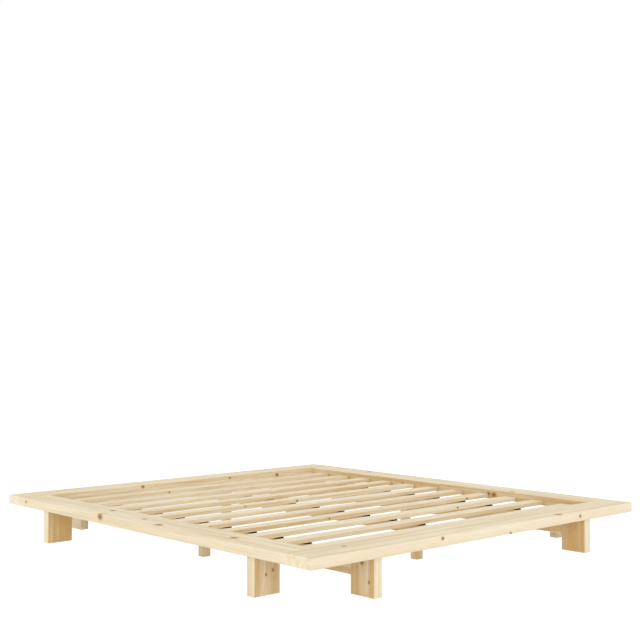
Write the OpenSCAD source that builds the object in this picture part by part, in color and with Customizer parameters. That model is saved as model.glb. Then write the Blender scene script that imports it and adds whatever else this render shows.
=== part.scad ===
// Low wooden platform bed frame: a flat border of wide boards on eight board legs,
// three lengthwise bearers with posts, and eleven cross slats sunk inside the border.
// The origin is on the floor under the middle of the bed. X runs across the bed,
// Y runs from the foot (-Y) to the head (+Y), and Z points up.

/* [Border boards] */
// Overall width, across the bed
frame_w = 2100; // [1900:10:2200]
// Overall length, foot to head
frame_l = 2300; // [2250:10:2400]
// Height of the border's top above the floor
frame_h = 200; // [190:5:260]
// Width of a border board, seen from above
rail_w = 150; // [145:1:160]
// Thickness of a border board
rail_t = 45; // [40:1:50]
// Radius of the eased edges on every board
edge_r = 2; // [1:0.5:3]

/* [Legs] */
// Width of a board leg
leg_w = 130; // [120:5:140]
// Thickness of a board leg
leg_t = 45; // [40:1:50]
// How far a leg's outer edge stands in from the border's edge
leg_inset = 10; // [6:1:12]
// From the foot or head end to the near face of a side leg
side_leg_from_end = 338; // [300:1:400]
// From the side of the bed to the near face of an end leg
end_leg_from_side = 334; // [300:1:360]

/* [Bearers and posts] */
// Thickness of a long bearer
bearer_t = 45; // [40:1:50]
// Depth of a long bearer, top to bottom
bearer_h = 80; // [70:1:95]
// Side of the square section used for the middle bearer and all the posts
stick = 40; // [38:1:44]
// How far the middle bearer's tongues lap under the end boards
lap = 30; // [25:1:40]
// Thickness of those tongues
tongue_t = 20; // [15:1:25]
// Distance of each middle post from the centre of the bed
post_y = 700; // [500:10:800]

/* [Slats] */
// Width of a slat
slat_w = 70; // [50:1:80]
// Thickness of a slat
slat_t = 18; // [16:1:22]
// Distance from one slat's centre to the next
slat_pitch = 177; // [165:1:178]
// Free gap between a slat's end and the side board
slat_end_gap = 7; // [2:1:12]
// Thickness of the rubber pads between a bearer and the slats
pad_t = 6; // [3:1:8]
// Length of a pad along its slat
pad_l = 32; // [26:1:36]
// How far a pad stands in from each long edge of its slat
pad_inset = 2; // [2:0.5:6]

/* [Fasteners] */
// Diameter of the glued corner and leg dowels
dowel_d = 12; // [10:1:14]
// Length of a dowel
dowel_l = 60; // [50:2:64]
// Shank diameter of a slat screw
screw_d = 4; // [3.5:0.5:5]
// Head diameter of a slat screw
screw_head_d = 8; // [7:0.5:9]
// Length of a slat screw
screw_l = 45; // [40:1:50]
// Diameter of a post bolt
bolt_d = 8; // [6:1:10]
// Thickness of a corner plate
plate_t = 3; // [2:0.5:4]

/* [Hidden] */
$fn = 48;

slat_count = 11;
half_w = frame_w / 2;
half_l = frame_l / 2;
leg_h = frame_h - rail_t;
inner_w = frame_w - 2 * rail_w;
inner_l = frame_l - 2 * rail_w;
side_leg_x = half_w - leg_inset - leg_w / 2;
side_leg_y = half_l - side_leg_from_end - leg_t / 2;
end_leg_x = half_w - end_leg_from_side - leg_t / 2;
end_leg_y = half_l - leg_inset - leg_w / 2;
bearer_x = end_leg_x;
bearer_l = 2 * (end_leg_y - leg_w / 2);
bearer_post_x = bearer_x - bearer_t / 2;
bearer_post_lug_t = stick / 2;
slat_z = leg_h + pad_t;
slat_l = inner_w - 2 * slat_end_gap;
corner_dowel_dx = [-40, 40];
leg_dowel_d = [-38, 38];
bearer_dowel_dz = [-26, -2];
bearer_post_bolt_z = [leg_h - 62, leg_h - 28];
bolt_head_d = 2.2 * bolt_d;
bolt_head_h = 0.55 * bolt_d;
washer_d = 3 * bolt_d;
washer_t = 2;
nut_w = 13;
nut_h = 6.5;
nut_wall = 0.3;
long_screw_d = 5;
long_screw_head_d = 10;
lap_screw_l = 40;
post_screw_l = 90;
plate_l = 130;
plate_w = 50;
plate_x = half_w - rail_w / 2;
plate_screw_l = 30;
plate_screw_dx = [-14, 14];
plate_screw_dy = [-48, -22, 22, 48];
glue_room = 1;

// Rounded rectangle, centred, that every board's section is cut to.
module section(a, b) {
    square([a - 2 * edge_r, b], center = true);
    square([a, b - 2 * edge_r], center = true);
    for (x = [-1, 1], y = [-1, 1])
        translate([x * (a / 2 - edge_r), y * (b / 2 - edge_r)])
            circle(edge_r);
}

// Board lying along X, centred on its own middle.
module board_x(length, width, thick) {
    rotate([90, 0, 90])
        linear_extrude(length, center = true)
            section(width, thick);
}

// Board lying along Y, centred on its own middle.
module board_y(length, width, thick) {
    rotate([90, 0, 0])
        linear_extrude(length, center = true)
            section(width, thick);
}

// Board standing upright on the floor.
module board_z(height, width, thick) {
    linear_extrude(height)
        section(width, thick);
}

// Wood screw pointing down: tapered head flush with z = 0, shank below it.
module screw(length, d, head_d) {
    translate([0, 0, -length])
        cylinder(h = length, d = d);
    translate([0, 0, -(head_d - d) / 2])
        cylinder(h = (head_d - d) / 2, d1 = d, d2 = head_d);
}

// ---- where the fasteners go; the boards are drilled with the same modules ----

// Dowels across the four butt joints of the border.
module at_corner_dowels() {
    for (sx = [-1, 1], sy = [-1, 1], dx = corner_dowel_dx)
        translate([sx * (half_w - rail_w / 2) + dx, sy * inner_l / 2, frame_h - rail_t / 2])
            rotate([90, 0, 0])
                children();
}

// Dowels up from the tops of the side legs.
module at_side_leg_dowels() {
    for (sx = [-1, 1], sy = [-1, 1], d = leg_dowel_d)
        translate([sx * side_leg_x + d, sy * side_leg_y, leg_h])
            children();
}

// Dowels up from the tops of the end legs.
module at_end_leg_dowels() {
    for (sx = [-1, 1], sy = [-1, 1], d = leg_dowel_d)
        translate([sx * end_leg_x, sy * end_leg_y + d, leg_h])
            children();
}

// Dowels between the ends of the long bearers and the end legs.
module at_bearer_dowels() {
    for (sx = [-1, 1], sy = [-1, 1], dz = bearer_dowel_dz)
        translate([sx * bearer_x, sy * bearer_l / 2, leg_h - bearer_h / 2 + dz])
            rotate([90, 0, 0])
                children();
}

// Screws down through the slats into the long bearers.
module at_slat_screws() {
    for (sx = [-1, 1], i = [0:slat_count - 1])
        translate([sx * bearer_x, slat_y(i), slat_z + slat_t])
            children();
}

// Screws up through the plates into the border, four across each joint pair.
module at_plate_screws() {
    for (sx = [-1, 1], sy = [-1, 1], dx = plate_screw_dx, dy = plate_screw_dy)
        translate([sx * plate_x + dx, sy * inner_l / 2 + dy, leg_h - plate_t])
            mirror([0, 0, 1])
                children();
}

// Screws up through the tongues of the middle bearer.
module at_lap_screws() {
    for (sy = [-1, 1])
        translate([0, sy * (inner_l / 2 + lap / 2), leg_h - tongue_t])
            mirror([0, 0, 1])
                children();
}

// Screws down through the middle bearer into its posts.
module at_middle_post_screws() {
    for (y = [-post_y, post_y])
        translate([0, y, leg_h])
            children();
}

// Bolts through each long bearer and the lug of its post; +Z points inwards.
module at_bearer_post_bolts() {
    for (sx = [-1, 1], z = bearer_post_bolt_z)
        translate([sx * (bearer_x + bearer_t / 2), 0, z])
            rotate([0, -90 * sx, 0])
                children();
}

module dowel_hole() {
    cylinder(h = dowel_l + 2 * glue_room, d = dowel_d, center = true);
}

module dowel() {
    cylinder(h = dowel_l, d = dowel_d, center = true);
}

module drilled() {
    difference() {
        children();
        at_corner_dowels() dowel_hole();
        at_side_leg_dowels() dowel_hole();
        at_end_leg_dowels() dowel_hole();
        at_bearer_dowels() dowel_hole();
    }
}

// ---- border ----

module end_board(sy) {
    color("#ecdcbe")
        difference() {
            drilled()
                translate([0, sy * (half_l - rail_w / 2), frame_h - rail_t / 2])
                    board_x(frame_w, rail_w, rail_t);
            at_plate_screws() screw(plate_screw_l, screw_d, screw_head_d);
            at_lap_screws() screw(lap_screw_l, long_screw_d, long_screw_head_d);
        }
}

module side_board(sx) {
    color("#ecdcbe")
        difference() {
            drilled()
                translate([sx * (half_w - rail_w / 2), 0, frame_h - rail_t / 2])
                    board_y(inner_l, rail_w, rail_t);
            at_plate_screws() screw(plate_screw_l, screw_d, screw_head_d);
        }
}

// ---- legs, bearers and posts ----

module side_leg(sx, sy) {
    color("#e2cb9d")
        drilled()
            translate([sx * side_leg_x, sy * side_leg_y, 0])
                board_z(leg_h, leg_w, leg_t);
}

module end_leg(sx, sy) {
    color("#e2cb9d")
        drilled()
            translate([sx * end_leg_x, sy * end_leg_y, 0])
                board_z(leg_h, leg_t, leg_w);
}

module long_bearer(sx) {
    color("#dcc493")
        difference() {
            drilled()
                translate([sx * bearer_x, 0, leg_h - bearer_h / 2])
                    board_y(bearer_l, bearer_t, bearer_h);
            at_slat_screws() screw(screw_l, screw_d, screw_head_d);
            at_bearer_post_bolts() bolt();
        }
}

// Its ends are cut to tongues, so that only the top half laps under the end boards.
module middle_bearer() {
    color("#dcc493")
        difference() {
            translate([0, 0, leg_h - stick / 2])
                board_y(inner_l + 2 * lap, stick, stick);
            for (sy = [-1, 1])
                translate([0, sy * (inner_l / 2 + lap), leg_h - tongue_t - stick / 2])
                    cube([2 * stick, 2 * lap, stick], center = true);
            at_lap_screws() screw(lap_screw_l, long_screw_d, long_screw_head_d);
            at_middle_post_screws() screw(post_screw_l, long_screw_d, long_screw_head_d);
        }
}

// The bearer stands in a notch: the post's full section below, and a lug on its inner face.
module bearer_post(sx) {
    color("#dcc493")
        difference() {
            translate([sx * bearer_post_x, 0, 0])
                board_z(leg_h, stick, stick);
            translate([sx * (bearer_post_x + stick / 2), 0, leg_h])
                cube([stick, 2 * stick, 2 * bearer_h], center = true);
            at_bearer_post_bolts() bolt();
        }
}

module middle_post(y) {
    color("#dcc493")
        difference() {
            translate([0, y, 0])
                board_z(leg_h - stick, stick, stick);
            at_middle_post_screws() screw(post_screw_l, long_screw_d, long_screw_head_d);
        }
}

// ---- slats ----

function slat_y(i) = (i - (slat_count - 1) / 2) * slat_pitch;

module slat(i) {
    color("#eee0c4")
        difference() {
            translate([0, slat_y(i), slat_z + slat_t / 2])
                board_x(slat_l, slat_w, slat_t);
            at_slat_screws() screw(screw_l, screw_d, screw_head_d);
        }
}

// Rubber pads on a bearer of the given thickness, one under each slat.
module slat_pads(x) {
    color("#2b2622")
        difference() {
            for (i = [0:slat_count - 1])
                translate([x, slat_y(i), leg_h + pad_t / 2])
                    cube([pad_l, slat_w - 2 * pad_inset, pad_t], center = true);
            at_slat_screws() screw(screw_l, screw_d, screw_head_d);
        }
}

module slat_screws() {
    color("#c9b15a")
        at_slat_screws() screw(screw_l, screw_d, screw_head_d);
}

// ---- hidden fasteners ----

module corner_dowels() {
    color("#cfae74")
        at_corner_dowels() dowel();
}

module leg_dowels() {
    color("#cfae74")
        union() {
            at_side_leg_dowels() dowel();
            at_end_leg_dowels() dowel();
        }
}

module bearer_dowels() {
    color("#cfae74")
        at_bearer_dowels() dowel();
}

module corner_plates() {
    color("#b9bbbd")
        difference() {
            for (sx = [-1, 1], sy = [-1, 1])
                translate([sx * plate_x, sy * inner_l / 2, leg_h - plate_t / 2])
                    cube([plate_w, plate_l, plate_t], center = true);
            at_plate_screws() screw(plate_screw_l, screw_d, screw_head_d);
        }
}

module plate_screws() {
    color("#c9b15a")
        at_plate_screws() screw(plate_screw_l, screw_d, screw_head_d);
}

module lap_screws() {
    color("#c9b15a")
        at_lap_screws() screw(lap_screw_l, long_screw_d, long_screw_head_d);
}

module middle_post_screws() {
    color("#c9b15a")
        at_middle_post_screws() screw(post_screw_l, long_screw_d, long_screw_head_d);
}

// Carriage bolt along +Z from the bearer's outer face; its round head stands outside.
module bolt() {
    cylinder(h = bearer_t + bearer_post_lug_t + washer_t + nut_h + 3, d = bolt_d);
    translate([0, 0, -bolt_head_h])
        cylinder(h = bolt_head_h, d1 = 0.7 * bolt_head_d, d2 = bolt_head_d);
}

module bearer_post_bolts() {
    color("#b9bbbd")
        at_bearer_post_bolts() bolt();
}

module bearer_post_washers() {
    color("#b9bbbd")
        at_bearer_post_bolts()
            translate([0, 0, bearer_t + bearer_post_lug_t])
                difference() {
                    cylinder(h = washer_t, d = washer_d);
                    translate([0, 0, -1])
                        cylinder(h = washer_t + 2, d = bolt_d + nut_wall);
                }
}

module bearer_post_nuts() {
    color("#b9bbbd")
        at_bearer_post_bolts()
            translate([0, 0, bearer_t + bearer_post_lug_t + washer_t])
                difference() {
                    cylinder(h = nut_h, d = nut_w / cos(30), $fn = 6);
                    translate([0, 0, -1])
                        cylinder(h = nut_h + 2, d = bolt_d);
                }
}

end_board(-1);  // foot_board
end_board(1);  // head_board
side_board(-1);  // left_side_board
side_board(1);  // right_side_board
side_leg(-1, -1);  // left_foot_side_leg
side_leg(-1, 1);  // left_head_side_leg
side_leg(1, -1);  // right_foot_side_leg
side_leg(1, 1);  // right_head_side_leg
end_leg(-1, -1);  // foot_left_end_leg
end_leg(1, -1);  // foot_right_end_leg
end_leg(-1, 1);  // head_left_end_leg
end_leg(1, 1);  // head_right_end_leg
long_bearer(-1);  // left_bearer
long_bearer(1);  // right_bearer
middle_bearer();
bearer_post(-1);  // left_bearer_post
bearer_post(1);  // right_bearer_post
middle_post(-post_y);  // foot_middle_post
middle_post(post_y);  // head_middle_post
slat(0);  // slat_01
slat(1);  // slat_02
slat(2);  // slat_03
slat(3);  // slat_04
slat(4);  // slat_05
slat(5);  // slat_06
slat(6);  // slat_07
slat(7);  // slat_08
slat(8);  // slat_09
slat(9);  // slat_10
slat(10);  // slat_11
slat_pads(-bearer_x);  // left_slat_pads
slat_pads(0);  // middle_slat_pads
slat_pads(bearer_x);  // right_slat_pads
slat_screws();
corner_dowels();
leg_dowels();
bearer_dowels();
corner_plates();
plate_screws();
lap_screws();
middle_post_screws();
bearer_post_bolts();
bearer_post_washers();
bearer_post_nuts();
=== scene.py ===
# %% [markdown]
# # A low pine bed frame
#
# The frame is four wide border boards laid flat, eight short board legs, three lengthwise
# bearers with their posts, and eleven slats sunk inside the border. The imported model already
# holds every one of these at its true size. What is left to do here is to cut each piece as a
# joiner would leave it, with eased edges, notches and drilled holes, to give it real timber,
# and to turn proper screws and bolts for it.

import math
import random

import bpy
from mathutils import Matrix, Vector


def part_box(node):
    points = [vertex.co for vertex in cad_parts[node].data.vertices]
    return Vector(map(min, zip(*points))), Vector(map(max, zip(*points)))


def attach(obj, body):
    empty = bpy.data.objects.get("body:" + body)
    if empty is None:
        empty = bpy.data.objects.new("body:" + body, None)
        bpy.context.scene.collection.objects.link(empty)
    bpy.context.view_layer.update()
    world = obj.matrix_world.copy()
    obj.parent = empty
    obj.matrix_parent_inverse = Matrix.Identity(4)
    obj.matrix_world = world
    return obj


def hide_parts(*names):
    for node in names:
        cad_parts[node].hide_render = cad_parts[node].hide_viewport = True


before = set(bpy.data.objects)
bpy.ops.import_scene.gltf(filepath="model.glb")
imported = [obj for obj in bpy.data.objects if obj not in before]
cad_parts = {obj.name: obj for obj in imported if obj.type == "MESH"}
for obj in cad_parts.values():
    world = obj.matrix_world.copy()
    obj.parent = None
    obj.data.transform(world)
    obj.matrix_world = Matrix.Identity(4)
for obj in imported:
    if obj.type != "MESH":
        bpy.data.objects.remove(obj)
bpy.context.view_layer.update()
print("packed nodes:", len(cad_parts))

# %% [markdown]
# ## Where the eye stands
#
# The camera comes first, because it decides how fine a pattern has to be. It stands just under
# a metre above the floor, off the corner between the foot and the left side, and looks almost
# level. A longish lens keeps the far corner from shrinking too much.

# %% Camera
EYE = Vector((-3.838, -4.239, 0.999))
TURN_RIGHT = 42.51
TILT_UP = 0.90
LENS_MM = 64.4

camera = bpy.data.objects.new("camera", bpy.data.cameras.new("camera"))
bpy.context.scene.collection.objects.link(camera)
camera.location = EYE
camera.rotation_euler = (math.radians(90 + TILT_UP), 0, -math.radians(TURN_RIGHT))
camera.data.lens = LENS_MM
camera.data.sensor_width = 36
camera.data.clip_end = 200
bpy.context.scene.camera = camera
print("camera at", tuple(EYE))

# %% [markdown]
# ## Helpers for materials
#
# Colours are picked as sRGB hex values, as on a paint chart, and the shader wants linear light,
# so one function turns one into the other. A second small function adds a node, sets what it
# is given and makes its links, which keeps the recipe for a material readable.


# %% Colour and node helpers
def linear(hex_colour):
    """sRGB hex such as "#e8d5b0" as linear RGBA."""
    values = [int(hex_colour[i : i + 2], 16) / 255 for i in (1, 3, 5)]
    rgb = [v / 12.92 if v <= 0.04045 else ((v + 0.055) / 1.055) ** 2.4 for v in values]
    return (*rgb, 1.0)


def add(material, kind, links=None, stops=None, **settings):
    """Adds a node. links is {input: output socket or value}; settings are its properties."""
    node = material.node_tree.nodes.new(kind)
    for key, value in settings.items():
        setattr(node, key, value)
    for key, value in (links or {}).items():
        if isinstance(value, bpy.types.NodeSocket):
            material.node_tree.links.new(value, node.inputs[key])
        else:
            node.inputs[key].default_value = value
    if stops:
        ramp = node.color_ramp
        while len(ramp.elements) < len(stops):
            ramp.elements.new(0.5)
        for element, (place, colour) in zip(ramp.elements, stops):
            element.position = place
            element.color = linear(colour) if isinstance(colour, str) else (colour,) * 3 + (1,)
    return node


def blank(name):
    """A new material with its nodes cleared but for the shader and the output."""
    material = bpy.data.materials.new(name)
    material.use_nodes = True
    shader = material.node_tree.nodes["Principled BSDF"]
    return material, shader


# %% [markdown]
# ## Pine
#
# A board is a slice out of a trunk, so its figure is worked out in three dimensions: rings
# round a pith that runs beside the board. One recipe then gives long lines on the faces,
# tight lines on the edges and arcs on the end grain, and they meet at the corners, which a
# flat picture of wood never does.
#
# - The pattern reads Object coordinates, turned so that its own X follows the board.
# - Rings are 3.5 mm apart, each pale at first and darker at the end of the summer.
# - Streaks a few centimetres wide, narrower ones of some 10 mm and a fine fibre of about 1 mm
#   break up the colour.
# - A face that is cut along the rings shows more of the dark summer wood than one cut across
#   them, and a face near the bark is paler. Each board is told which pair of its faces has a
#   tone of its own, what tone, and how much of it. That face tone is partly the wood's own and
#   partly painted light and shade: it darkens faces that lie in shade and pales lit ones.
# - A knot is a branch cut off short: a small dark egg in the board, with a soft warm halo,
#   and the grain bends a little to go round it.

# %% The pine recipe
RING_M = 0.0035
STREAK_PER_M = 38
VEIN_PER_M = 100
FIBRE_PER_M = 700

# sRGB colours of clear-lacquered pine
SAP_WOOD = "#f4ead6"
PALE_WOOD = "#e7dbbf"
WARM_WOOD = "#d7c298"
HEART_WOOD = "#c8a56e"
LATE_WOOD = "#bc9760"
KNOT_CORE = "#a97c4b"
KNOT_RIM = "#7a5230"
KNOT_HALO = "#cfa66c"

TURN_TO_X = {"x": (0, 0, 0), "y": (0, 0, -math.pi / 2), "z": (0, math.pi / 2, 0)}
ALONG = {"x": Vector((1, 0, 0)), "y": Vector((0, 1, 0)), "z": Vector((0, 0, 1))}


def blend(m, factor, a, b, mode="MIX"):
    """The colour a, covered by b as much as the factor says."""
    return add(m, "ShaderNodeMix", {"Factor": factor, "A": a, "B": b},
               data_type="RGBA", blend_type=mode).outputs[2]


def knot_terms(m, point, knots, grain):
    """How near each knot is, and the point pushed aside by it. A knot is (centre, branch
    direction, radius, depth), in metres."""
    nearest = None
    pushed = point
    for centre, through, radius, depth in knots:
        # a knot is a little longer along the grain than across it
        scale = [1 / radius] * 3
        scale["xyz".index(grain)] = 0.8 / radius
        scale["xyz".index(through)] = 1 / depth
        away = add(m, "ShaderNodeVectorMath", {0: point, 1: centre}, operation="SUBTRACT").outputs[0]
        egg = add(m, "ShaderNodeVectorMath", {0: away, 1: scale}, operation="MULTIPLY").outputs[0]
        far = add(m, "ShaderNodeVectorMath", {0: egg}, operation="LENGTH").outputs["Value"]
        fade = add(m, "ShaderNodeMapRange", {0: far, 1: 0.3, 2: 3.6, 3: 0.4, 4: 0.0},
                   interpolation_type="SMOOTHSTEP").outputs[0]
        across = [1.0, 1.0, 1.0]
        across["xyz".index(grain)] = 0
        side = add(m, "ShaderNodeVectorMath", {0: away, 1: across}, operation="MULTIPLY").outputs[0]
        push = add(m, "ShaderNodeVectorMath", {0: side, "Scale": fade}, operation="SCALE").outputs[0]
        pushed = add(m, "ShaderNodeVectorMath", {0: pushed, 1: push}, operation="SUBTRACT").outputs[0]
        if nearest is None:
            nearest = far
        else:
            nearest = add(m, "ShaderNodeMath", {0: nearest, 1: far}, operation="MINIMUM").outputs[0]
    return nearest, pushed


def tree_point(m, point, lo, hi, grain, pith, shift):
    """The point in the trunk's own frame: X along the grain, and the wandering pith at Y = Z = 0."""
    middle = (lo + hi) / 2
    turned = {"x": middle, "y": Vector((middle.y, -middle.x, middle.z)),
              "z": Vector((middle.z, middle.y, -middle.x))}[grain]
    place = Vector((shift, pith[0], pith[1])) - turned
    own = add(m, "ShaderNodeMapping", {"Vector": point, "Location": place,
                                       "Rotation": TURN_TO_X[grain]}).outputs[0]
    slow = add(m, "ShaderNodeMapping", {"Vector": own, "Scale": (1.3, 4, 4)}).outputs[0]
    wander = add(m, "ShaderNodeTexNoise", {"Vector": slow, "Scale": 1, "Detail": 1}).outputs["Color"]
    wander = add(m, "ShaderNodeVectorMath", {0: wander, 1: (0.5, 0.5, 0.5)},
                 operation="SUBTRACT").outputs[0]
    wander = add(m, "ShaderNodeVectorMath", {0: wander, 1: (0, 0.05, 0.05)},
                 operation="MULTIPLY").outputs[0]
    return add(m, "ShaderNodeVectorMath", {0: own, 1: wander}, operation="ADD").outputs[0]


def stretched_noise(m, tree, along, across, detail=2):
    """Noise drawn out along the grain: so many spots a metre along it, and across it."""
    squeezed = add(m, "ShaderNodeMapping", {"Vector": tree, "Scale": (along, across, across)})
    return add(m, "ShaderNodeTexNoise", {"Vector": squeezed.outputs[0], "Scale": 1, "Detail": detail,
                                         "Roughness": 0.55}).outputs["Fac"]


# %% [markdown]
# The recipe goes in the order a joiner would name things: the rings, the streaks and fibre,
# the colour of sapwood and heartwood, the darker faces, the end grain, and last the knots.
# Clear matt lacquer leaves the surface only a little glossy, and a shade glossier on the hard
# summer wood.


# %% Pine for one board
def pine(name, lo, hi, grain, pith, shift, warmth, face_tone_and_shade, knots):
    """Planed pine. pith is its place across the board; the face tone is (axis, colour, how much), partly
    the wood's own tone and partly painted light and shade on that pair of faces.
    """
    m, shader = blank(name)
    coordinates = add(m, "ShaderNodeTexCoord").outputs
    near, point = knot_terms(m, coordinates["Object"], knots, grain)
    tree = tree_point(m, point, lo, hi, grain, pith, shift)

    # rings, pale to dark and sharply back, each year a little different
    round_pith = add(m, "ShaderNodeVectorMath", {0: tree, 1: (0, 1, 1)}, operation="MULTIPLY").outputs[0]
    radius = add(m, "ShaderNodeVectorMath", {0: round_pith}, operation="LENGTH").outputs["Value"]
    ring = add(m, "ShaderNodeMath", {0: radius, 1: 1 / RING_M}, operation="MULTIPLY").outputs[0]
    year = add(m, "ShaderNodeMath", {0: ring}, operation="FLOOR").outputs[0]
    part = add(m, "ShaderNodeMath", {0: ring}, operation="FRACT").outputs[0]
    year_tone = add(m, "ShaderNodeTexWhiteNoise", {"W": year}, noise_dimensions="1D").outputs["Value"]
    year_tone = add(m, "ShaderNodeMapRange", {0: year_tone, 3: 0.1, 4: 0.5}).outputs[0]
    late = add(m, "ShaderNodeValToRGB", {"Fac": part},
               stops=[(0.0, 0.3), (0.14, 0.0), (0.5, 0.12), (0.84, 1.0), (1.0, 0.6)]).outputs[0]
    late = add(m, "ShaderNodeMath", {0: late, 1: year_tone}, operation="MULTIPLY").outputs[0]

    streak = stretched_noise(m, tree, 1.1, STREAK_PER_M, 3)
    vein = stretched_noise(m, tree, 3.5, VEIN_PER_M)
    fibre = stretched_noise(m, tree, 14, FIBRE_PER_M)

    # pale sapwood to warm wood by the streaks and veins, and heartwood towards the pith
    mixed = add(m, "ShaderNodeMath", {0: vein, 1: 0.55, 2: streak}, operation="MULTIPLY_ADD").outputs[0]
    warm = add(m, "ShaderNodeMapRange", {0: mixed, 1: 0.64, 2: 0.95, 3: warmth, 4: warmth + 1.1},
               clamp=True).outputs[0]
    warm = add(m, "ShaderNodeMath", {0: warm, 1: 0.0}, operation="ADD", use_clamp=True).outputs[0]
    colour = blend(m, warm, linear(PALE_WOOD), linear(WARM_WOOD))
    heart = add(m, "ShaderNodeMapRange", {0: radius, 1: 0.10, 2: 0.04, 3: 0.0, 4: 0.6},
                interpolation_type="SMOOTHSTEP").outputs[0]
    colour = blend(m, heart, colour, linear(HEART_WOOD))
    colour = blend(m, late, colour, linear(LATE_WOOD))

    # the pair of faces with a tone of their own, streaky like the rest; partly the wood's own tone and
    # partly painted light and shade for how lit those faces are
    axis, tone, amount = face_tone_and_shade
    face_shade_mask = add(m, "ShaderNodeVectorMath", {0: coordinates["Normal"], 1: ALONG[axis]},
                 operation="DOT_PRODUCT").outputs["Value"]
    face_shade_mask = add(m, "ShaderNodeMath", {0: face_shade_mask}, operation="ABSOLUTE").outputs[0]
    face_shade_mask = add(m, "ShaderNodeMapRange", {0: face_shade_mask, 1: 0.5, 2: 0.95, 3: 0.0, 4: amount}).outputs[0]
    uneven = add(m, "ShaderNodeMapRange", {0: mixed, 1: 0.62, 2: 0.98, 3: 0.4, 4: 1.5}).outputs[0]
    face_shade_mask = add(m, "ShaderNodeMath", {0: face_shade_mask, 1: uneven}, operation="MULTIPLY",
                 use_clamp=True).outputs[0]
    colour = blend(m, face_shade_mask, colour, linear(tone))
    grain_tone = add(m, "ShaderNodeMapRange", {0: fibre, 1: 0.3, 2: 0.7, 3: 0.93, 4: 1.03}).outputs[0]
    colour = blend(m, 1.0, colour, grain_tone, "MULTIPLY")

    # sawn end grain is painted a tone paler than the faces, and its rings are fainter
    facing = add(m, "ShaderNodeVectorMath", {0: coordinates["Normal"], 1: ALONG[grain]},
                 operation="DOT_PRODUCT").outputs["Value"]
    facing = add(m, "ShaderNodeMath", {0: facing}, operation="ABSOLUTE").outputs[0]
    end = add(m, "ShaderNodeMapRange", {0: facing, 1: 0.7, 2: 1.0, 3: 0.0, 4: 0.28}).outputs[0]
    colour = blend(m, end, colour, linear(SAP_WOOD))

    if near is not None:
        ragged = add(m, "ShaderNodeTexNoise", {"Vector": coordinates["Object"], "Scale": 190,
                                               "Detail": 2}).outputs["Fac"]
        ragged = add(m, "ShaderNodeMapRange", {0: ragged, 3: -0.4, 4: 0.4}).outputs[0]
        near = add(m, "ShaderNodeMath", {0: near, 1: ragged}, operation="ADD").outputs[0]
        quarter = add(m, "ShaderNodeMath", {0: near, 1: 0.25}, operation="MULTIPLY").outputs[0]
        knot = add(m, "ShaderNodeValToRGB", {"Fac": quarter},
                   stops=[(0.0, KNOT_RIM), (0.1, KNOT_RIM), (0.16, KNOT_CORE), (0.24, KNOT_CORE),
                          (0.3, KNOT_HALO), (0.42, KNOT_HALO)]).outputs[0]
        cover = add(m, "ShaderNodeMapRange", {0: near, 1: 2.0, 2: 0.5, 3: 0.0, 4: 0.95},
                    interpolation_type="SMOOTHSTEP").outputs[0]
        colour = blend(m, cover, colour, knot)

    m.node_tree.links.new(colour, shader.inputs["Base Color"])
    gloss = add(m, "ShaderNodeMapRange", {0: late, 3: 0.58, 4: 0.5}).outputs[0]
    m.node_tree.links.new(gloss, shader.inputs["Roughness"])
    relief = add(m, "ShaderNodeMath", {0: fibre, 1: late}, operation="ADD").outputs[0]
    bump = add(m, "ShaderNodeBump", {"Height": relief, "Strength": 0.25, "Distance": 0.0002}).outputs[0]
    m.node_tree.links.new(bump, shader.inputs["Normal"])
    return m


# %% [markdown]
# ## Cutting a board
#
# Each board starts as a block of its own size and place. The four long edges are eased to the
# same 2 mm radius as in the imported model, as a sander or a small router bit leaves them, and
# then the arrises at the two sawn ends are just broken. The block is only the start: bevels
# with real faces catch a line of light along every edge, which a bump cannot do. Notches and
# screw holes are cut out of it with a cutter of their shape, as a saw and a drill would. Last,
# weighted normals keep the wide faces flat to the light and leave the curve to the edges.

# %% Board helpers
LONG_EASE = 0.002
END_EASE = 0.0009
MM = 0.001


def pick_edges(piece, wanted):
    """Selects the edges of piece, in object mode, for which wanted(start, end) is true."""
    for polygon in piece.data.polygons:
        polygon.select = False
    for vertex in piece.data.vertices:
        vertex.select = False
    for edge in piece.data.edges:
        a, b = (piece.data.vertices[i].co for i in edge.vertices)
        edge.select = wanted(a, b)


def bevel_picked(width, segments):
    """Bevels the picked edges of the active piece."""
    bpy.context.tool_settings.mesh_select_mode = (False, True, False)
    bpy.ops.object.mode_set(mode="EDIT")
    bpy.ops.mesh.bevel(offset=width, segments=segments, profile=0.5, affect="EDGES")
    bpy.ops.object.mode_set(mode="OBJECT")


def block(name, lo, hi):
    """A plain block between two corners, with its place in its mesh."""
    bpy.ops.object.select_all(action="DESELECT")
    bpy.ops.mesh.primitive_cube_add(size=1, location=(Vector(lo) + Vector(hi)) / 2)
    piece = bpy.context.object
    piece.name = name
    piece.data.name = name
    piece.scale = Vector(hi) - Vector(lo)
    bpy.ops.object.transform_apply(location=True, rotation=False, scale=True)
    return piece


def make_active(piece):
    """Selects one piece alone and makes it the active one."""
    bpy.ops.object.select_all(action="DESELECT")
    piece.select_set(True)
    bpy.context.view_layer.objects.active = piece


def cut_away(piece, cutter):
    """Takes the cutter's shape out of the piece, and throws the cutter away."""
    make_active(piece)
    cut = piece.modifiers.new("cut", "BOOLEAN")
    cut.operation = "DIFFERENCE"
    cut.solver = "EXACT"
    cut.object = cutter
    bpy.ops.object.modifier_apply(modifier=cut.name)
    bpy.data.objects.remove(cutter)


def smooth(piece):
    """Rounds the shading of the eased edges and keeps the wide faces flat."""
    make_active(piece)
    bpy.ops.object.shade_smooth_by_angle(angle=math.radians(40))
    even = piece.modifiers.new("even", "WEIGHTED_NORMAL")
    even.keep_sharp = True
    bpy.ops.object.modifier_apply(modifier=even.name)


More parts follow.
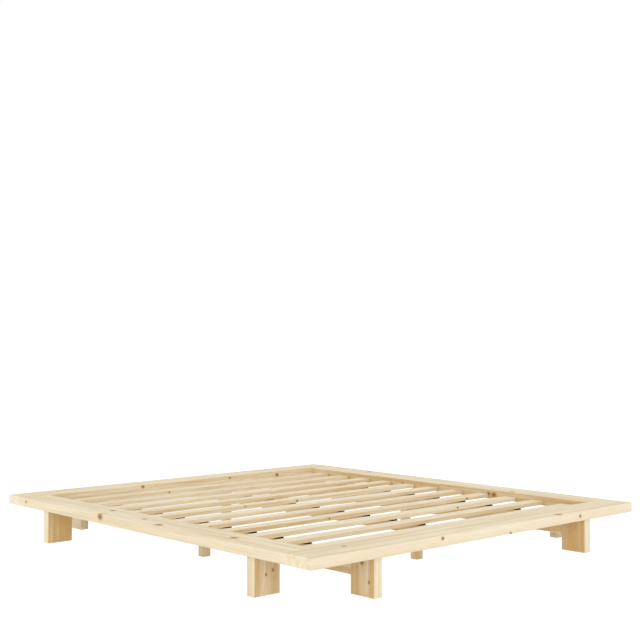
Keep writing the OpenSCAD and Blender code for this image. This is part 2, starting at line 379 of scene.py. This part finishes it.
def cut_board(name, lo, hi, grain):
    """A planed board between two corners, its long edges eased and its ends broken."""
    board = block(name, lo, hi)
    axis = ALONG[grain]
    pick_edges(board, lambda a, b: abs((b - a).normalized().dot(axis)) > 0.9)
    bevel_picked(LONG_EASE, 4)
    pick_edges(board, lambda a, b: abs((b - a).normalized().dot(axis)) < 0.5)
    bevel_picked(END_EASE, 2)
    bpy.ops.object.mode_set(mode="EDIT")
    bpy.ops.mesh.select_all(action="SELECT")
    bpy.ops.mesh.normals_make_consistent(inside=False)
    bpy.ops.object.mode_set(mode="OBJECT")
    return board


def fit_board(node, grain, pith, warmth, face_tone_and_shade, knots=(), cutters=()):
    """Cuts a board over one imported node, gives it pine, and lets it stand for that node."""
    lo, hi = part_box(node)
    board = cut_board("pine_" + node, lo, hi, grain)
    for cutter in cutters:
        cut_away(board, cutter)
    smooth(board)
    shift = round(random.uniform(0, 9), 2)
    board.data.materials.clear()
    board.data.materials.append(
        pine("planed pine, " + node, lo, hi, grain, pith, shift, warmth, face_tone_and_shade, knots))
    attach(board, "root")
    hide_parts(node)
    print(f"{node}: {len(board.data.polygons)} faces, {len(knots)} knots, {len(cutters)} cuts")
    return board


# %% [markdown]
# ## Turned shapes
#
# Screws, bolts and washers are all solids of rotation, so one helper turns them as a lathe
# would: it starts from a disc, and draws it up step by step to each radius and height of the
# profile. The drill that makes room for a screw is turned the same way, a hair wider, so that
# a fine dark line is left round each head.


# %% Lathe helper
def turn_on_lathe(name, profile, sides=24):
    """A solid of rotation about Z. profile is (radius, height) in mm, from the bottom up."""
    bpy.ops.object.select_all(action="DESELECT")
    radius, height = profile[0]
    bpy.ops.mesh.primitive_circle_add(vertices=sides, radius=radius * MM, fill_type="NGON")
    piece = bpy.context.object
    piece.name = name
    piece.data.name = name
    bpy.ops.object.mode_set(mode="EDIT")
    bpy.ops.mesh.select_all(action="SELECT")
    bpy.ops.transform.translate(value=(0, 0, height * MM))
    for (r0, z0), (r1, z1) in zip(profile, profile[1:]):
        bpy.ops.mesh.extrude_region_move(TRANSFORM_OT_translate={"value": (0, 0, (z1 - z0) * MM)})
        bpy.ops.transform.resize(value=(r1 / r0, r1 / r0, 1), center_override=(0, 0, z1 * MM))
    bpy.ops.mesh.select_all(action="SELECT")
    bpy.ops.mesh.normals_make_consistent(inside=False)
    bpy.ops.object.mode_set(mode="OBJECT")
    return piece


def set_out(pattern, name, places, turn=(0, 0, 0)):
    """Copies the pattern to each place, each with its own mesh, and joins the copies."""
    bpy.ops.object.select_all(action="DESELECT")
    copies = []
    for place in places:
        twin = pattern.copy()
        twin.data = pattern.data.copy()
        bpy.context.scene.collection.objects.link(twin)
        twin.location = place
        twin.rotation_euler = turn
        twin.select_set(True)
        copies.append(twin)
    bpy.context.view_layer.objects.active = copies[0]
    if len(copies) > 1:
        bpy.ops.object.join()
    bpy.ops.object.transform_apply(location=True, rotation=True, scale=True)
    joined = bpy.context.object
    joined.name = name
    joined.data.name = name
    return joined


def drill(places, turn=(0, 0, 0), shank=4.0, head=8.0, length=45):
    """A cutter for countersunk screw holes; the heads' tops are at the places."""
    sink = (head - shank) / 2
    bit = turn_on_lathe("drill", [(shank / 2 + 0.1, -length - 1), (shank / 2 + 0.1, -sink - 0.1),
                                  (head / 2 + 0.15, 0.05), (head / 2 + 0.15, 1.5)], 32)
    cutter = set_out(bit, "drill_set", places, turn)
    bpy.data.objects.remove(bit)
    return cutter


UPSIDE_DOWN = (math.pi, 0, 0)
# shank and head of the two sizes of wood screw, in mm
THIN_SCREW = (4.0, 8.0)
THICK_SCREW = (5.0, 10.0)
LAP_SCREW_MM = 40
LEG_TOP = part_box("left_foot_side_leg")[1].z
SLAT_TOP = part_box("slat_01")[1].z
BEARER_X = (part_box("right_bearer")[0].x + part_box("right_bearer")[1].x) / 2
print("leg tops at", round(LEG_TOP, 4), "slat tops at", round(SLAT_TOP, 4), "bearers at", BEARER_X)

# %% [markdown]
# ## The border
#
# The foot and head boards run the full width, so their end grain shows at the long sides,
# and the side boards are let in between them. The knots are set out one by one: where each one
# comes out, which way its branch ran (x, y or z), how thick it was, and how deep it goes.

# %% Border boards
random.seed(11)

# the face tones here are partly painted light and shade: the sapwood tone pales the foot and left side
# boards, whose outer faces catch the light, and the heart-wood tone darkens the head and right side boards,
# whose inner faces lie in shade
fit_board("foot_board", "x", (0.12, 0.07), -0.1, ("y", SAP_WOOD, 0.3), [
    ((-0.332, -1.15, 0.188), "y", 0.007, 0.030),
    ((0.108, -1.15, 0.159), "y", 0.006, 0.030),
    ((0.621, -1.15, 0.178), "y", 0.007, 0.030),
    ((0.470, -1.135, 0.200), "z", 0.014, 0.006),
    ((-0.790, -1.05, 0.200), "z", 0.009, 0.006),
])
fit_board("head_board", "x", (-0.2, 0.09), -0.05, ("y", HEART_WOOD, 0.3), [
    ((-0.339, 1.0, 0.192), "y", 0.008, 0.025),
    ((0.258, 1.0, 0.191), "y", 0.006, 0.025),
    ((0.614, 1.0, 0.180), "y", 0.010, 0.025),
])
fit_board("left_side_board", "y", (-0.12, 0.08), -0.05, ("x", SAP_WOOD, 0.15), [
    ((-1.05, 0.282, 0.187), "x", 0.014, 0.030),
    ((-1.05, 0.973, 0.182), "x", 0.006, 0.030),
    ((-1.027, -0.153, 0.200), "z", 0.016, 0.006),
    ((-0.988, -0.621, 0.200), "z", 0.015, 0.006),
    ((-0.957, 0.321, 0.200), "z", 0.012, 0.006),
    ((-0.985, 0.02, 0.200), "z", 0.011, 0.005),
])
fit_board("right_side_board", "y", (0.12, 0.06), 0.0, ("x", HEART_WOOD, 0.7), [
    ((0.90, -0.419, 0.177), "x", 0.013, 0.025),
    ((0.90, -0.385, 0.180), "x", 0.009, 0.025),
    ((0.90, 0.235, 0.176), "x", 0.007, 0.025),
    ((0.927, -0.519, 0.200), "z", 0.010, 0.006),
    ((1.006, 0.613, 0.200), "z", 0.012, 0.006),
])

# %% [markdown]
# ## Legs
#
# The legs are offcuts of the same boards stood on end, so their grain runs up and down. The
# broad faces of most are a good deal warmer and darker than the narrow ones: partly because they are cut
# along the rings, and partly as painted shade, since they stand back under the border.

# %% Legs
LEGS = [n for n in sorted(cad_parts) if n.endswith("_leg")]
LEG_KNOTS = {
    "foot_left_end_leg": [((-0.716, -1.073, 0.133), "x", 0.010, 0.03),
                          ((-0.716, -1.112, 0.060), "x", 0.006, 0.03)],
    "left_foot_side_leg": [((-0.946, -0.812, 0.095), "y", 0.006, 0.03),
                           ((-0.981, -0.812, 0.081), "y", 0.005, 0.03)],
}

# the tone of a leg's broad faces, where it is not like the rest: partly the wood's own, partly painted
# light and shade, paler where a face gets more light and darker where it lies in shade
LEG_FACE_TONES_AND_SHADE = {
    "head_left_end_leg": (SAP_WOOD, 0.5),
    "right_foot_side_leg": (PALE_WOOD, 0.3),
    "left_head_side_leg": (HEART_WOOD, 1.2),
    "foot_right_end_leg": (HEART_WOOD, 1.1),
    "left_foot_side_leg": (HEART_WOOD, 0.7),
}
# how warm the wood of a leg is all round, where it is not like the rest
LEG_WARMTH = {"head_left_end_leg": 0.2, "right_foot_side_leg": 0.2}

for node in LEGS:
    broad = "y" if "side_leg" in node else "x"
    pith = (random.choice((-1, 1)) * random.uniform(0.08, 0.12), random.uniform(-0.09, 0.09))
    # a broad face not listed gets the heart-wood tone, partly painted shade for its place under the border
    tone = LEG_FACE_TONES_AND_SHADE.get(node, (HEART_WOOD, 0.62))
    fit_board(node, "z", pith, LEG_WARMTH.get(node, -0.55), (broad, *tone),
              LEG_KNOTS.get(node, []))

# %% [markdown]
# ## Bearers and posts
#
# The long bearers stand on edge between the end legs. The middle bearer is a square bar whose
# ends are cut to tongues, so that only its top half laps under the end boards. The two posts
# beside the long bearers are notched: the bearer stands on the full section, and a lug half as
# thick runs up its inner face for the bolts.

# %% Bearers and posts
def draw_knots(lo, hi, grain, through, each_m, radius_range, depth=0.03):
    """Knots along a board, one about every each_m metres, at random across it."""
    i = "xyz".index(grain)
    length = hi[i] - lo[i]
    knots = []
    for k in range(int(length / each_m)):
        centre = [random.uniform(lo[j], hi[j]) for j in range(3)]
        centre[i] = lo[i] + (k + random.uniform(0.15, 0.85)) * each_m
        knots.append((tuple(centre), through, random.uniform(*radius_range), depth))
    return knots


for node in ("left_bearer", "right_bearer"):
    lo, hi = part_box(node)
    knots = draw_knots(lo, hi, "y", "x", 0.6, (0.005, 0.008))
    fit_board(node, "y", (random.uniform(-0.1, 0.1), 0.09), 0.1, ("x", HEART_WOOD, 0.5),
              knots)

lo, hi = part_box("middle_bearer")
TONGUE = 0.020
LAP = 0.030
tongue_cuts = [
    block("saw", (-0.1, lo.y - 0.01, lo.z - 0.01), (0.1, lo.y + LAP, hi.z - TONGUE)),
    block("saw", (-0.1, hi.y - LAP, lo.z - 0.01), (0.1, hi.y + 0.01, hi.z - TONGUE)),
    drill([(0, lo.y + LAP / 2, hi.z - TONGUE), (0, hi.y - LAP / 2, hi.z - TONGUE)], UPSIDE_DOWN,
          *THICK_SCREW, LAP_SCREW_MM),
]
fit_board("middle_bearer", "y", (0.05, 0.08), 0.1, ("x", HEART_WOOD, 0.5),
          draw_knots(lo, hi, "y", "x", 0.7, (0.004, 0.006)), tongue_cuts)

for side in (-1, 1):
    node = "right_bearer_post" if side > 0 else "left_bearer_post"
    lo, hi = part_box(node)
    middle = (lo.x + hi.x) / 2
    bearer_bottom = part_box("right_bearer")[0].z
    notch = sorted((middle, middle + side * 0.1))
    saw = block("saw", (notch[0], lo.y - 0.01, bearer_bottom), (notch[1], hi.y + 0.01, hi.z + 0.01))
    fit_board(node, "z", (0.09, 0.03), 0.1, ("x", PALE_WOOD, 0.3), [], [saw])
for node in ("foot_middle_post", "head_middle_post"):
    fit_board(node, "z", (0.08, random.uniform(-0.05, 0.05)), 0.1, ("x", HEART_WOOD, 0.3))

# %% [markdown]
# ## Slats
#
# Eleven slats of thinner stock lie across the bearers. Each is cut from its own bit of tree,
# so no two match, and each is drilled and countersunk over the two long bearers.

# %% Slats
SLATS = [n for n in sorted(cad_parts) if n.startswith("slat_") and n[5:].isdigit()]
# where a knot shows on a slat's front edge: (slat, x, radius)
SLAT_KNOTS = [("slat_03", 0.44, 0.005), ("slat_04", 0.72, 0.006), ("slat_04", -0.25, 0.005),
              ("slat_05", -0.80, 0.005), ("slat_07", 0.02, 0.006), ("slat_11", -0.27, 0.005)]

for node in SLATS:
    lo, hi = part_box(node)
    knots = [((x, lo.y, 0.171), "y", radius, 0.018) for name, x, radius in SLAT_KNOTS if name == node]
    knots += draw_knots(lo, hi, "x", "z", 0.9, (0.003, 0.005), 0.005)
    pith = (random.uniform(-0.08, 0.08), random.choice((-1, 1)) * random.uniform(0.06, 0.1))
    holes = drill([(side * BEARER_X, (lo.y + hi.y) / 2, SLAT_TOP) for side in (-1, 1)])
    fit_board(node, "x", pith, random.uniform(-0.7, -0.05), ("y", HEART_WOOD, random.uniform(0.0, 0.5)),
              knots, [holes])

# %% [markdown]
# ## Screws
#
# Yellow zinc-plated wood screws, countersunk, with a cross recess. One is turned for each
# size: point, shank, cone and a thin rim. Two small blocks crossed over the head cut the
# recess. The plating is a thin metal skin whose yellow drifts a little towards green and pink.

# %% Zinc plating
def plating(name, colour, tint, roughness, cells_per_m):
    """Zinc plate on steel: a metal whose crystals and tint vary from spot to spot."""
    m, shader = blank(name)
    point = add(m, "ShaderNodeTexCoord").outputs["Object"]
    cells = add(m, "ShaderNodeTexVoronoi", {"Vector": point, "Scale": cells_per_m}).outputs["Color"]
    cell = add(m, "ShaderNodeSeparateXYZ", {0: cells}).outputs[0]
    cloud = add(m, "ShaderNodeTexNoise", {"Vector": point, "Scale": 60, "Detail": 3}).outputs["Fac"]
    cloud = add(m, "ShaderNodeMapRange", {0: cloud, 1: 0.35, 2: 0.7}).outputs[0]
    base = blend(m, cloud, linear(colour), linear(tint))
    shade = add(m, "ShaderNodeMapRange", {0: cell, 3: 0.9, 4: 1.06}).outputs[0]
    base = blend(m, 1.0, base, shade, "MULTIPLY")
    m.node_tree.links.new(base, shader.inputs["Base Color"])
    gloss = add(m, "ShaderNodeMapRange", {0: cell, 3: roughness - 0.06, 4: roughness + 0.08}).outputs[0]
    m.node_tree.links.new(gloss, shader.inputs["Roughness"])
    shader.inputs["Metallic"].default_value = 1.0
    return m


YELLOW_ZINC = plating("yellow zinc-plated steel", "#d3bd7d", "#c8b98b", 0.34, 500)
BRIGHT_ZINC = plating("bright zinc-plated steel", "#c6c8ca", "#b7babd", 0.36, 350)


def finish_piece(piece, nodes, material):
    """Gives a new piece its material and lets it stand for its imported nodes."""
    smooth(piece)
    piece.data.materials.clear()
    piece.data.materials.append(material)
    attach(piece, "root")
    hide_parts(*nodes)
    print(f"{piece.name}: {len(piece.data.polygons)} faces for {', '.join(nodes)}")


# %% Screws
def wood_screw(shank, head, length):
    """A countersunk wood screw along Z, its head's top at Z = 0."""
    sink = (head - shank) / 2
    screw = turn_on_lathe("screw", [(0.3, -length), (shank / 2, -length + 5), (shank / 2, -sink),
                                    (head / 2 - 0.05, -0.15), (head / 2 - 0.05, -0.05),
                                    (head / 2 - 0.2, 0)], 24)
    for long_way in (True, False):
        w, d = (0.29 * head, 0.06 * head) if long_way else (0.06 * head, 0.29 * head)
        cut_away(screw, block("driver", (-w * MM, -d * MM, -1.6 * MM), (w * MM, d * MM, 1 * MM)))
    return screw


slat_y = [(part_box(n)[0].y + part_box(n)[1].y) / 2 for n in SLATS]
small_screw = wood_screw(*THIN_SCREW, 45)
slat_screws = set_out(small_screw, "zinc_slat_screws",
                      [(side * BEARER_X, y, SLAT_TOP) for side in (-1, 1) for y in slat_y])
finish_piece(slat_screws, ["slat_screws"], YELLOW_ZINC)
bpy.data.objects.remove(small_screw)

end_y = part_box("middle_bearer")[1].y - LAP / 2
lap_screw = wood_screw(*THICK_SCREW, LAP_SCREW_MM)
lap_screws = set_out(lap_screw, "zinc_lap_screws",
                     [(0, side * end_y, LEG_TOP - TONGUE) for side in (-1, 1)], UPSIDE_DOWN)
finish_piece(lap_screws, ["lap_screws"], YELLOW_ZINC)
bpy.data.objects.remove(lap_screw)

post_y = [(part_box(n)[0].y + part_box(n)[1].y) / 2
          for n in ("foot_middle_post", "head_middle_post")]
post_screw = wood_screw(*THICK_SCREW, 90)
post_screws = set_out(post_screw, "zinc_post_screws", [(0, y, LEG_TOP) for y in post_y])
finish_piece(post_screws, ["middle_post_screws"], YELLOW_ZINC)
bpy.data.objects.remove(post_screw)

# %% [markdown]
# ## Corner plates
#
# Four flat steel plates hold the corner joints together from below. They are stamped, so
# their corners are round and their edges are softened by the tumbling, and each has eight
# countersunk holes with a short screw in each.

# %% Corner plates and their screws
lo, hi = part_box("corner_plates")
PLATE_W = 0.050
PLATE_L = 0.130
ROWS = (-0.014, 0.014)
COLUMNS = (-0.048, -0.022, 0.022, 0.048)
plate_centres = [(sx * (hi.x - PLATE_W / 2), sy * (hi.y - PLATE_L / 2)) for sx in (-1, 1) for sy in (-1, 1)]

plate = block("plate", (-PLATE_W / 2, -PLATE_L / 2, lo.z), (PLATE_W / 2, PLATE_L / 2, hi.z))
pick_edges(plate, lambda a, b: abs((b - a).normalized().z) > 0.9)
bevel_picked(0.006, 6)
pick_edges(plate, lambda a, b: abs(a.z - lo.z) < 1e-6 and abs(b.z - lo.z) < 1e-6)
bevel_picked(0.0004, 2)
cut_away(plate, drill([(x, y, lo.z) for x in ROWS for y in COLUMNS], UPSIDE_DOWN, *THIN_SCREW, 30))
plates = set_out(plate, "zinc_corner_plates", [(x, y, 0) for x, y in plate_centres])
finish_piece(plates, ["corner_plates"], BRIGHT_ZINC)
bpy.data.objects.remove(plate)

short_screw = wood_screw(*THIN_SCREW, 30)
plate_screws = set_out(short_screw, "zinc_plate_screws",
                       [(x + dx, y + dy, lo.z) for x, y in plate_centres for dx in ROWS for dy in COLUMNS],
                       UPSIDE_DOWN)
finish_piece(plate_screws, ["plate_screws"], YELLOW_ZINC)
bpy.data.objects.remove(short_screw)

# %% [markdown]
# ## Bolts, washers and nuts
#
# Each bearer post hangs on two carriage bolts. The head is a low smooth dome on the bearer's
# outer face. Inside, a washer spreads the load on the softwood and a hexagon nut holds it; its
# corners are turned off, as on every real nut.

# %% Bolts, washers and nuts
lo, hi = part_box("bearer_post_bolts")
OUTER_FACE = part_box("right_bearer")[1].x
HEAD_RADIUS = 0.0088
WASHER_DEPTH = 0.065
NUT_DEPTH = 0.067
bolt_z = (lo.z + HEAD_RADIUS, hi.z - HEAD_RADIUS)

bolt = turn_on_lathe("bolt", [(1.5, -4.4), (4.0, -4.1), (6.4, -3.2), (8.0, -1.7), (8.75, -0.4), (8.75, 0),
                              (4.0, 0.001), (4.0, 75.5), (3.3, 76.5)], 32)
washer = turn_on_lathe("washer", [(11.7, 0), (12.0, 0.3), (12.0, 1.7), (11.7, 2.0)], 40)
nut = turn_on_lathe("nut", [(6.7, 0), (7.5, 0.5), (7.5, 6.0), (6.7, 6.5)], 6)


def through_posts(pattern, name, depth):
    """The pattern at each bolt, with its Z turned inwards and its foot so far inside the bearer."""
    halves = []
    for side in (-1, 1):
        places = [(side * (OUTER_FACE - depth), 0, z) for z in bolt_z]
        halves.append(set_out(pattern, name, places, (0, -side * math.pi / 2, 0)))
    bpy.data.objects.remove(pattern)
    bpy.ops.object.select_all(action="DESELECT")
    for half in halves:
        half.select_set(True)
    bpy.context.view_layer.objects.active = halves[0]
    bpy.ops.object.join()
    halves[0].name = name
    return halves[0]


finish_piece(through_posts(bolt, "zinc_bolts", 0.0), ["bearer_post_bolts"], BRIGHT_ZINC)
finish_piece(through_posts(washer, "zinc_washers", WASHER_DEPTH), ["bearer_post_washers"],
             BRIGHT_ZINC)
finish_piece(through_posts(nut, "zinc_nuts", NUT_DEPTH), ["bearer_post_nuts"], BRIGHT_ZINC)

# %% [markdown]
# ## Rubber pads and dowels
#
# A rubber pad under each slat, wherever it crosses a bearer, stops it from creaking.
# It is cut from sheet, so it is a flat block with a fine matt grain, and the outer ones have a
# hole for the screw. Its near-black brown is painted shade, the colour of the deep shade in the
# narrow gap between slat and bearer. The dowels are beech, harder and closer in grain than the pine, and
# sit wholly inside the joints. Both have the right shape in the imported model already, so they only get a
# material.


# %% Rubber and beech
def rubber():
    """Matt sheet rubber, nearly black brown as painted shade for the gap under the slats, with a cloth-like
    grain drawn at 1 mm.
    """
    m, shader = blank("near-black sheet rubber painted as shade")
    point = add(m, "ShaderNodeTexCoord").outputs["Object"]
    grit = add(m, "ShaderNodeTexNoise", {"Vector": point, "Scale": 1000, "Detail": 2}).outputs["Fac"]
    dust = add(m, "ShaderNodeTexNoise", {"Vector": point, "Scale": 25, "Detail": 3}).outputs["Fac"]
    dust = add(m, "ShaderNodeMapRange", {0: dust, 1: 0.35, 2: 0.75}).outputs[0]
    # the near-black browns are painted shade: the colour of the deep shade under each slat
    m.node_tree.links.new(blend(m, dust, linear("#160c04"), linear("#1e1208")), shader.inputs["Base Color"])
    gloss = add(m, "ShaderNodeMapRange", {0: grit, 3: 0.7, 4: 0.9}).outputs[0]
    m.node_tree.links.new(gloss, shader.inputs["Roughness"])
    shader.inputs["Specular IOR Level"].default_value = 0.0
    bump = add(m, "ShaderNodeBump", {"Height": grit, "Strength": 0.3, "Distance": 0.0003}).outputs[0]
    m.node_tree.links.new(bump, shader.inputs["Normal"])
    return m


def beech(grain):
    """Beech rod: a pinkish tan with short dark rays and fine lines along the grain."""
    m, shader = blank("beech rod along " + grain)
    point = add(m, "ShaderNodeTexCoord").outputs["Object"]
    own = add(m, "ShaderNodeMapping", {"Vector": point, "Rotation": TURN_TO_X[grain]}).outputs[0]
    line = stretched_noise(m, own, 20, 900)
    fleck = add(m, "ShaderNodeTexVoronoi", {"Vector": add(m, "ShaderNodeMapping", {
        "Vector": own, "Scale": (350, 1200, 1200)}).outputs[0], "Scale": 1}).outputs["Distance"]
    fleck = add(m, "ShaderNodeMapRange", {0: fleck, 1: 0.25, 2: 0.1, 3: 0.0, 4: 0.5}).outputs[0]
    colour = blend(m, line, linear("#d6b68a"), linear("#c49c6d"))
    colour = blend(m, fleck, colour, linear("#9c6f45"))
    m.node_tree.links.new(colour, shader.inputs["Base Color"])
    shader.inputs["Roughness"].default_value = 0.62
    bump = add(m, "ShaderNodeBump", {"Height": line, "Strength": 0.3, "Distance": 0.0002}).outputs[0]
    m.node_tree.links.new(bump, shader.inputs["Normal"])
    return m


def repaint(node, material):
    """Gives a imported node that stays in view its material."""
    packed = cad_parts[node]
    packed.data.materials.clear()
    packed.data.materials.append(material)
    print(node, "is now", material.name)


shade_dark_pad_rubber = rubber()
for node in ("left_slat_pads", "middle_slat_pads", "right_slat_pads"):
    repaint(node, shade_dark_pad_rubber)
repaint("corner_dowels", beech("y"))
repaint("bearer_dowels", beech("y"))
repaint("leg_dowels", beech("z"))

# %% [markdown]
# ## Floor and light
#
# A studio with an even white sky all round and a white floor. Floor and light are kept
# apart, so that each can be set on its own: one floor, which the camera doesn't see, throws
# the light back up under the bed, and is in the bed's own shade there. The other, which only
# the camera sees, is nearly as bright as the sky, so the ground runs into the background
# with no line and keeps only a trace of shade. One very wide sun from the foot end gives the
# edges a direction.

# %% Floor and light
def studio_floor(name, height, albedo, glow):
    """A wide floor of matt white paint that also glows a little."""
    m, shader = blank("white studio paint, " + name)
    point = add(m, "ShaderNodeTexCoord").outputs["Object"]
    cloud = add(m, "ShaderNodeTexNoise", {"Vector": point, "Scale": 0.8, "Detail": 2}).outputs["Fac"]
    tone = add(m, "ShaderNodeMapRange", {0: cloud, 3: albedo - 0.01, 4: albedo + 0.01}).outputs[0]
    m.node_tree.links.new(tone, shader.inputs["Base Color"])
    shader.inputs["Roughness"].default_value = 1.0
    shader.inputs["Specular IOR Level"].default_value = 0.0
    shader.inputs["Emission Color"].default_value = (1, 1, 1, 1)
    shader.inputs["Emission Strength"].default_value = glow
    bpy.ops.object.select_all(action="DESELECT")
    bpy.ops.mesh.primitive_plane_add(size=160, location=(0, 0, height))
    floor = bpy.context.object
    bpy.ops.object.transform_apply(location=True, rotation=True, scale=True)
    floor.name = name
    floor.data.materials.append(m)
    return floor


bounce_floor = studio_floor("bounce_floor", -0.0005, 0.9, 0.12)
bounce_floor.visible_camera = False
seen_floor = studio_floor("seen_floor", 0.0, 0.22, 0.95)
seen_floor.visible_diffuse = False
seen_floor.visible_glossy = False
seen_floor.visible_transmission = False
seen_floor.visible_shadow = False

world = bpy.data.worlds.new("studio")
world.use_nodes = True
world.node_tree.nodes["Background"].inputs["Color"].default_value = (1, 1, 1, 1)
world.node_tree.nodes["Background"].inputs["Strength"].default_value = 1.0
bpy.context.scene.world = world

sun = bpy.data.objects.new("wide_sun", bpy.data.lights.new("wide_sun", "SUN"))
bpy.context.scene.collection.objects.link(sun)
sun.data.energy = 0.85
sun.data.angle = math.radians(50)
sun.rotation_euler = Vector((0.68, 0.72, -0.34)).to_track_quat("-Z", "Y").to_euler()

bpy.context.scene.view_settings.view_transform = "Standard"
print("sun energy", sun.data.energy)
